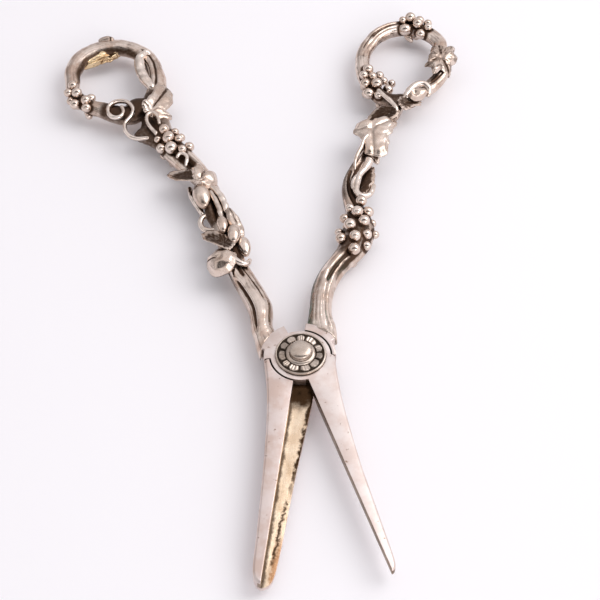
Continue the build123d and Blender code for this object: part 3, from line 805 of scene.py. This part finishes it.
# The bands that darken each stem are painted shade.
stem_specs = {
    "left": dict(
        strands=((100, 1.1, 0.42, 0.56, 10), (215, 1.1, 0.45, 0.54, 8), (330, 1.0, 0.42, 0.56, 9)),
        grooves=((4, 20, 124, 142, 0.24, 10), (12, 24, 62, 74, 0.16, 6), (20, 27, 95, 95, 0.20, 14),
                 (28, 44, 95, 60, 0.30, 11), (40, 56, 130, 95, 0.38, 13), (46, 58, 60, 75, 0.22, 8),
                 (60, 76, 110, 80, 0.32, 12)),
        knots=((24, 120, 0.08, 1.6, 24), (35, 20, 0.10, 2.0, 30), (58, 150, 0.12, 2.0, 30),
               (45, 172, 0.45, 5.0, 36), (79, 180, 1.25, 3.2, 34)), seed=11,
        calm=((0, 0.1), (18, 0.2), (28, 0.8), (80, 0.9)),
        shade_bands=((38, 52, 150, 34, 0.85), (70, 92, 130, 110, 0.85), (26, 36, 130, 60, 0.6)),
    ),
    "right": dict(
        strands=((60, 1.3, 0.42, 0.56, 10), (180, 1.2, 0.45, 0.54, 9), (300, 1.3, 0.42, 0.56, 8)),
        grooves=((0, 17, 62, 66, 0.10, 8), (16, 28, 74, 66, 0.22, 12), (3, 14, 118, 122, 0.05, 4),
                 (2, 10, 100, 96, 0.04, 3), (3, 12, 84, 86, 0.04, 3), (40, 56, 70, 110, 0.30, 13),
                 (52, 70, 150, 120, 0.26, 11)),
        knots=((19, 100, 0.10, 1.2, 14), (30, 120, 0.08, 2.0, 24)), seed=23,
        calm=((0, 0.1), (14, 0.2), (24, 0.7), (80, 0.8)),
        shade_bands=((25, 43, 90, 80, 0.8), (18, 28, 72, 16, 0.7), (0, 24, 164, 34, 0.8),
              (46, 62, 140, 50, 0.7), (74, 92, 110, 110, 0.8)),
    ),
}
stem_lines = {}
for side, (body, sign) in ARMS.items():
    rows = extended(slices(f"{side}_stem", sign, 60), 2.6, 3.2)
    stem_lines[side] = turned(rows[:, :3], sign * HALF_OPENING)
    slope = np.gradient(rows[:, 0], rows[:, 1])
    across = rows[:, 3] / np.sqrt(1 + slope ** 2)
    vine(f"{side}_vine_stem", body, sign, f"{side}_stem", rows[:, :3], across, rows[:, 4],
         foot=COLLAR - 0.15, berries=berries[side], **stem_specs[side])

# ---- finger rings
# The bands that darken each ring are painted shade.
# Widths go round each ring in even steps from its left side, over the bottom, right side and top.
ring_specs = {
    "left": dict(
        widths=(3.7, 4.6, 7.2, 6.0, 4.6, 5.2, 5.8, 5.2, 3.7),
        strands=((35, 0.0, 0.40, 0.60, 16), (150, 0.0, 0.42, 0.58, 12), (265, 0.0, 0.40, 0.62, 10)),
        grooves=((50, 78, 132, 150, 0.10, 26), (34, 50, 95, 85, 0.18, 10), (30, 46, 130, 140, 0.14, 6),
                 (76, 90, 100, 110, 0.08, 10)),
        shade_bands=((11, 32, 85, 120, 0.95), (46, 80, 152, 40, 0.88), (74, 90, 40, 30, 0.3),
              (30, 50, 150, 40, 0.5)),
        calm=((0, 0.22), (90, 0.22)), seed=31,
    ),
    "right": dict(
        widths=(4.3, 4.4, 5.0, 4.4, 4.2, 4.4, 4.8, 4.9, 4.3),
        strands=((40, 0.0, 0.40, 0.60, 16), (150, 0.0, 0.42, 0.58, 14), (265, 0.0, 0.40, 0.62, 10)),
        grooves=((56, 84, 70, 80, 0.12, 9), (60, 84, 120, 110, 0.10, 9), (68, 78, 80, 92, 0.24, 8),
                 (28, 46, 100, 60, 0.18, 8), (30, 46, 140, 120, 0.12, 6)),
        shade_bands=((9, 28, 95, 100, 0.9), (28, 50, 110, 80, 0.6), (60, 84, 175, 24, 0.45),
              (80, 90, 60, 40, 0.4)),
        calm=((0, 0.45), (90, 0.45)), seed=37,
    ),
}
ring_lines = {}
for side, (body, sign) in ARMS.items():
    line, thick, tall = ring_line(f"{side}_ring", sign)
    spec = ring_specs[side]
    widths = np.array(spec.pop("widths"))
    every = np.interp(np.linspace(0, 1, len(line), endpoint=False), np.linspace(0, 1, len(widths)), widths)
    middle = line.mean(0)
    line = line - unit(line - middle) * ((every - thick) / 2)[:, None]
    ring_lines[side] = turned(line, sign * HALF_OPENING)
    vine(f"{side}_finger_ring", body, sign, f"{side}_ring", line, widths, [tall] * 2,
         closed=True, around=96, roughness=0.03, berries=berries[side], **spec)

# ---- grapes
for name, line_of, seed in (("left_ring_grapes", ring_lines, 41), ("left_stem_grapes", stem_lines, 42),
                            ("right_side_grapes", ring_lines, 43), ("right_top_grapes", ring_lines, 44),
                            ("right_stem_grapes", stem_lines, 45)):
    grape_bunch(f"{name}_cast", arm_of(name), name, line_of[name.split("_")[0]], seed)

# ---- leaves
THREE = ((0, 1.0), (42, 0.60), (82, 0.80), (130, 0.45), (180, 0.30), (-130, 0.45), (-82, 0.80),
         (-42, 0.60))
OVAL = ((0, 1.0), (45, 0.80), (90, 0.62), (135, 0.50), (180, 0.42), (-135, 0.50), (-90, 0.62),
        (-45, 0.80))
MITTEN = ((0, 1.0), (20, 0.95), (42, 0.55), (66, 0.42), (88, 0.46), (125, 0.28), (180, 0.15),
          (-120, 0.32), (-70, 0.52), (-38, 0.80), (-18, 0.92))
TWIN = ((16, 1.0), (34, 0.80), (60, 0.45), (100, 0.30), (180, 0.25), (-150, 0.32), (-104, 0.66),
        (-72, 0.84), (-42, 0.90), (-12, 0.60))
SPRAY = ((0, 1.0), (20, 0.78), (42, 0.95), (95, 0.52), (135, 0.50), (161, 0.76), (180, 0.68), (-163, 0.98),
         (-138, 0.62), (-112, 0.84), (-78, 0.58), (-46, 0.76), (-22, 0.68))
BIG = ((0, 0.90), (22, 0.97), (45, 0.74), (66, 0.58), (92, 0.72), (112, 0.94), (130, 0.80), (152, 0.46),
       (180, 0.30), (-142, 0.42), (-112, 0.56), (-88, 0.64), (-62, 0.50), (-40, 0.54), (-18, 0.88))
DISC = ((0, 1.0), (40, 0.93), (75, 1.0), (120, 0.88), (180, 0.80), (-120, 0.90), (-70, 1.0), (-35, 0.90))
leaf_specs = {
    "left_ring_leaf": dict(edge=MITTEN, veins=(0, 88), stretch=1.1, fold=0.5, droop=0.4, crease=0.8,
        stalk=0.05, dull=0.25),
    "left_ring_leaflet": dict(edge=OVAL, veins=(0,), hug=0.4, wave=0.2, teeth=0.08, dull=0.2),
    "left_ring_inner_leaf": dict(edge=THREE, veins=(0, 82, -82), fold=0.4, wave=0.6, puff=0.9, teeth=0.12,
        wide=1.35, stretch=1.15, thick=0.8, tilt=-75, move=(0.5, -1.5, 0.3)),
    "left_hooded_leaf": dict(edge=OVAL, veins=(), cup=1.3, fold=0.9, hollow=0.85, teeth=0.02, puff=0.1,
        tilt=32, stretch=1.05),
    "left_lobed_leaf": dict(edge=TWIN, veins=(-12,), crease=0.9, hug=1.2, droop=0.6, puff=0.6, teeth=0.0,
        wave=0.1, stalk=0.04, wide=0.94, dull=0.15),
    "left_side_leaf": dict(edge=OVAL, veins=(0,), crease=0.5, hug=0.6, puff=0.4, teeth=0.02,
        stalk=0.05, wide=0.8, dull=0.35),
    "left_curled_leaf": dict(edge=OVAL, veins=(), cup=1.2, fold=1.1, hollow=0.7, teeth=0.05, puff=0.1,
        wide=0.75, tilt=30, wave=0.4, dull=0.25, stretch=0.9),
    "left_round_leaf": dict(edge=DISC, veins=(8,), crease=0.9, hug=0.4, droop=0.3, puff=0.6, teeth=0.01,
        wave=0.1, stalk=0.46, thick=0.7, wide=1.05, stretch=1.15, dome=1.7, tilt=-20),
    "right_ring_leaf": dict(edge=SPRAY, veins=(42, 161, -112), stalk=0.45, stretch=1.05, wide=1.15, hug=1.1,
        puff=0.8, wave=0.5, teeth=0.05, crease=0.6, dull=0.6),
    "right_ring_leaflet": dict(edge=OVAL, veins=(), hug=0.6, teeth=0.0, puff=0.9, thick=0.8),
    "right_jagged_leaf": dict(edge=THREE, veins=(0,), teeth=0.22, cup=0.8, hollow=0.8),
    "right_under_leaf": dict(edge=OVAL, veins=(0,), cup=0.9, fold=0.8, hollow=0.9, tilt=20),
    "right_big_leaf": dict(edge=BIG, veins=(0, 115, -88), crease=0.5, stalk=0.24, wide=1.08, hug=0.9,
        droop=0.8, puff=0.6, wave=0.15, teeth=0.04),
    "right_hook_leaf": dict(edge=OVAL, veins=(0,), cup=-0.4, fold=-0.9, hollow=0.92, teeth=0.08,
        tilt=-18, wide=0.85),
}
for name, spec in leaf_specs.items():
    leaf(f"{name}_cast", arm_of(name), name, GOLD if name == "left_ring_inner_leaf" else LEAF, **spec)

# ---- buds, tendrils and shoots
bud_specs = {"left_bell_bud": dict(grow=1.2, longer=1.22), "left_hips": dict(grow=1.12, longer=1.08),
             "left_ring_bud": dict(crease=0.12, dull=0.4),
             "right_stem_bud": dict(crease=0.12), "right_ring_bud": dict()}
for name, spec in bud_specs.items():
    buds(f"{name}_cast", arm_of(name), name, **spec)

tendril_specs = {
    "left_spiral_tendril": dict(taper=(0.9, 1.0), flat=1.2, swell=1.1),
    "left_loop_tendril": dict(taper=(0.8, 1.0), flat=1.2, swell=1.1),
    "left_wrap_shoot": dict(taper=(0.75, 0.45), swell=1.35),
    "left_curl_tendril": dict(taper=(0.7, 0.9)),
    "left_twist_shoot": dict(),
    "left_inner_shoot": dict(),
    "left_back_shoot": dict(),
    "left_stem_loop": dict(),
    "left_cross_shoot": dict(taper=(0.7, 0.7)),
    "right_bunch_stalk": dict(taper=(0.9, 0.9)),
    "right_loop_tendril": dict(taper=(0.6, 1.0), swell=1.3),
    "right_curved_shoot": dict(taper=(0.5, 0.9), swell=0.85),
    "right_wavy_tendril": dict(taper=(1.0, 0.5), flat=1.2, swell=1.15),
    "right_hook_shoot": dict(taper=(1.3, 0.7), swell=1.25),
    "right_knot_tendril": dict(),
}
for name, spec in tendril_specs.items():
    tendril(f"{name}_cast", arm_of(name), name, **spec)


# ---- pivot
def lathe(name, node, profile, around, relief=None):
    """A turned piece with an optional relief added to its height."""
    radius, height = np.array(profile).T
    lon = full_circle(around)
    points = revolved(radius, height, lon)
    dark = np.zeros(points.shape[:2])
    if relief is not None:
        rise, dark = relief(radius[:, None], lon[None])
        points[..., 2] += rise
    faces = grid_faces(len(radius), around)
    for row in (0, len(radius) - 1):
        if radius[row] < 1e-6 or radius[0] != radius[-1]:
            faces.append(tuple(range(row * around, (row + 1) * around)))
    add_piece(name, "lower_arm", node, points.reshape(-1, 3), faces, PIVOT, dark.ravel())


rose_low, rose_high = (np.array(c) * 1000 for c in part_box("rosette_washer"))
pin_low, pin_high = (np.array(c) * 1000 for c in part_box("pivot_pin"))
rose_radius, rose_foot, crown = rose_high[0], rose_low[2], rose_high[2]
pin_radius, pin_foot, pin_top = pin_high[0], pin_low[2], pin_high[2]


def petals(radius, lon):
    """Raised petals round the button, with creases between and fine lines on each."""
    count = 11
    share = (radius - pin_radius) / (rose_radius - pin_radius)
    lon = lon + 0.06 * np.sin(3 * lon + 1.0) + 0.04 * np.sin(5 * lon)
    phase = (lon * count / (2 * math.pi)) % 1
    edge = np.minimum(phase, 1 - phase)
    body = smooth(0.0, 0.16, edge)
    tip = 0.80 - 0.22 * (2 * np.abs(phase - 0.5)) ** 2
    on_top = smooth(0.26, 0.36, share) * (1 - smooth(tip - 0.07, tip + 0.03, share))
    on_top = on_top * (radius < rose_radius - 0.35)
    lines = 0.045 * np.cos(phase * 2 * math.pi * 4) * body
    rise = on_top * (0.38 * body * (1 + 0.2 * np.sin(7 * lon)) + lines)
    # Painted shade: the petals are darker in two opposite sectors round the button, one of them on the left.
    petal_shade = 0.45 * smooth(-0.2, 0.9, np.sin(lon * 2 + 2.2)) * on_top
    # Darker on the dish floor and in the creases between petals: patina there together with painted shade.
    dish_floor = (1 - on_top) * smooth(0.22, 0.29, share) * (1 - smooth(0.86, 0.92, share)) * 0.9
    dark = dish_floor + on_top * (1 - body) * 0.9 + petal_shade
    return rise, np.clip(dark, 0, 1)


shelf = rose_foot + 0.55
skirt_width, skirt_height = 0.9, crown - 0.05 - shelf
rosette_profile = [(pin_radius - 0.5, crown - 0.2)]
for r in np.linspace(pin_radius + 0.05, rose_radius - 0.5, 64):
    skirt = math.sqrt(max(0.0, 1 - ((r - pin_radius) / skirt_width) ** 2))
    rosette_profile.append((r, shelf + skirt_height * skirt))
rosette_profile += [(rose_radius - 0.42, shelf + 0.16), (rose_radius - 0.25, shelf + 0.24),
                    (rose_radius - 0.08, shelf + 0.16), (rose_radius, shelf), (rose_radius, rose_foot)]
lathe("rosette", "rosette_washer", rosette_profile, 396, petals)

shank, neck = 1.5, pin_radius - 0.35
lip, lip_height = 0.28, 0.25
dome = 0.85
button = [(0.0, pin_foot), (shank, pin_foot), (shank, crown - 0.6), (pin_radius, crown - 0.25),
          (pin_radius, crown - 0.1), (neck, crown + 0.25), (neck, crown + 0.35)]
for a in np.linspace(0, 1.57, 6):
    button.append((pin_radius - lip + lip * math.sin(a), crown + 0.62 - lip_height * math.cos(a)))
for a in np.linspace(0, 1.5, 16):
    button.append((pin_radius * math.cos(a) ** 0.6, pin_top - dome + dome * math.sin(a)))
button.append((0.0, pin_top))
lathe("pivot_button", "pivot_pin", button, 96)


# ---- blades and nut: CAD shapes with softened edges
def softened_copy(name, node, body, width_mm, sort_faces, materials):
    """The CAD's own mesh with small bevels on its sharp edges; sort_faces gives each its material."""
    mesh = frame["nodes"][node].data.copy()
    mesh.name = name
    mesh.materials.clear()
    for material in materials:
        mesh.materials.append(material)
    b = bmesh.new()
    b.from_mesh(mesh)
    bmesh.ops.remove_doubles(b, verts=b.verts, dist=2e-6)
    bmesh.ops.dissolve_limit(b, angle_limit=math.radians(1.0), verts=b.verts, edges=b.edges)
    sharp = [e for e in b.edges if len(e.link_faces) == 2 and e.calc_face_angle(0) > math.radians(28)]
    bmesh.ops.bevel(b, geom=sharp, offset=width_mm * METRE, segments=2, profile=0.6, affect="EDGES",
                    clamp_overlap=True)
    for face in b.faces:
        face.smooth = True
        face.material_index = sort_faces(face.calc_center_median() * 1000, face.normal)
    b.to_mesh(mesh)
    b.free()
    mesh.set_sharp_from_angle(angle=math.radians(35))
    mesh.attributes.new("patina_and_shade", "FLOAT", "POINT")
    place(name, mesh, body, node)


def lower_side(centre, normal):
    """0 blade face, 1 wall beside the flange, dark with painted shade, 2 gilt flange."""
    at = turned(np.array(centre), HALF_OPENING)
    if normal[2] > 0.5 and at[0] > -0.9 and centre[2] < LAP + 0.1:
        return 2
    if at[1] > -6.5 or centre[2] > 6.2:
        return 0
    if abs(normal[2]) < 0.5 and -1.4 < at[0] < -0.4 and centre[2] > 3.3:
        return 1
    return 0


def upper_side(centre, normal):
    """0 blade face, 1 the inner shearing wall, dark with painted shade."""
    at = turned(np.array(centre), -HALF_OPENING)
    inner = abs(normal[2]) < 0.5 and at[0] < 0.2 and at[1] < -7
    return 1 if inner else 0


softened_copy("broad_blade", "lower_blade", "lower_arm", 0.10, lower_side, [STAINED, SHADED_WALL, GILT])
softened_copy("narrow_blade", "upper_blade", "upper_arm", 0.10, upper_side, [BLADE, SHADED_WALL])
softened_copy("nut", "pivot_nut", "lower_arm", 0.12, lambda c, n: 0, [PIVOT])


# ---- stage, light and camera
def floor():
    """The white paper that the shears lie on."""
    bpy.ops.mesh.primitive_plane_add(size=3.0, location=(0, 0, cad_box[0][2] - 0.00005))
    paper = bpy.context.object
    paper.name = "floor"
    material = bpy.data.materials.new("paper")
    material.use_nodes = True
    shader = material.node_tree.nodes["Principled BSDF"]
    shader.inputs["Base Color"].default_value = (0.975, 0.955, 0.98, 1)
    shader.inputs["Roughness"].default_value = 0.85
    paper.data.materials.append(material)


def tent():
    """A white tent of light, darker to the west and the back, with a dark opening over the front."""
    world = bpy.data.worlds.new("studio")
    world.use_nodes = True
    bpy.context.scene.world = world
    graph = Graph(world.node_tree)
    east, north, height = graph.apart(graph.new("ShaderNodeTexCoord").outputs["Generated"])
    # Angle over the top of the set, from the front horizon at 0 to the back horizon at pi.
    over = graph.maths("ARCTAN2", height, graph.maths("MULTIPLY", north, -1.0))
    from_opening = graph.maths("ABSOLUTE", graph.maths("SUBTRACT", over, 1.15))
    opening = graph.times(graph.ranged(from_opening, 0.20, 0.36, 1.0, 0.0),
                          graph.ranged(graph.maths("ABSOLUTE", east), 0.60, 0.92, 1.0, 0.0))
    cloth = graph.times(graph.ranged(over, 1.6, 3.1, 1.08, 0.62),
                        graph.ranged(east, -1.0, 0.6, 0.55, 1.1))
    glow = graph.times(cloth, graph.maths("SUBTRACT", 1.0, graph.times(opening, 0.88)))
    tint = graph.new("ShaderNodeCombineColor")
    for channel, share in (("Red", 1.0), ("Green", 0.975), ("Blue", 1.0)):
        graph.join(graph.times(glow, share), tint.inputs[channel])
    background = graph.tree.nodes["Background"]
    graph.join(tint.outputs[0], background.inputs["Color"])
    background.inputs["Strength"].default_value = 1.045


def lamps():
    """Soft round lamps in metres and watts, all aimed near the pivot."""
    target = np.array((0.0, 0.02, 0.0))
    for name, spot, size, power in (("key", (0.42, 0.10, 0.50), 0.55, 1.5),
                                    ("front", (0.26, -0.52, 0.30), 0.22, 0.40),
                                    ("left", (-0.55, 0.10, 0.45), 0.60, 0.2)):
        lamp = bpy.data.lights.new(name, "AREA")
        lamp.shape = "DISK"
        lamp.size = size
        lamp.energy = power
        light = bpy.data.objects.new(name, lamp)
        bpy.context.scene.collection.objects.link(light)
        light.location = spot
        toward = target - np.array(spot)
        yaw = math.atan2(toward[1], toward[0])
        pitch = math.atan2(math.hypot(toward[0], toward[1]), -toward[2])
        light.rotation_euler = (pitch, 0, yaw - math.pi / 2)


def camera():
    lens = bpy.data.cameras.new("camera")
    lens.lens = 81
    lens.sensor_width = 36
    eye = bpy.data.objects.new("camera", lens)
    bpy.context.scene.collection.objects.link(eye)
    eye.location = (-0.02034, -0.18593, 0.26435)
    eye.rotation_euler = (math.radians(38.3), 0, math.radians(-6.2))
    bpy.context.scene.camera = eye


floor()
tent()
lamps()
camera()
bpy.context.scene.view_settings.view_transform = "Standard"
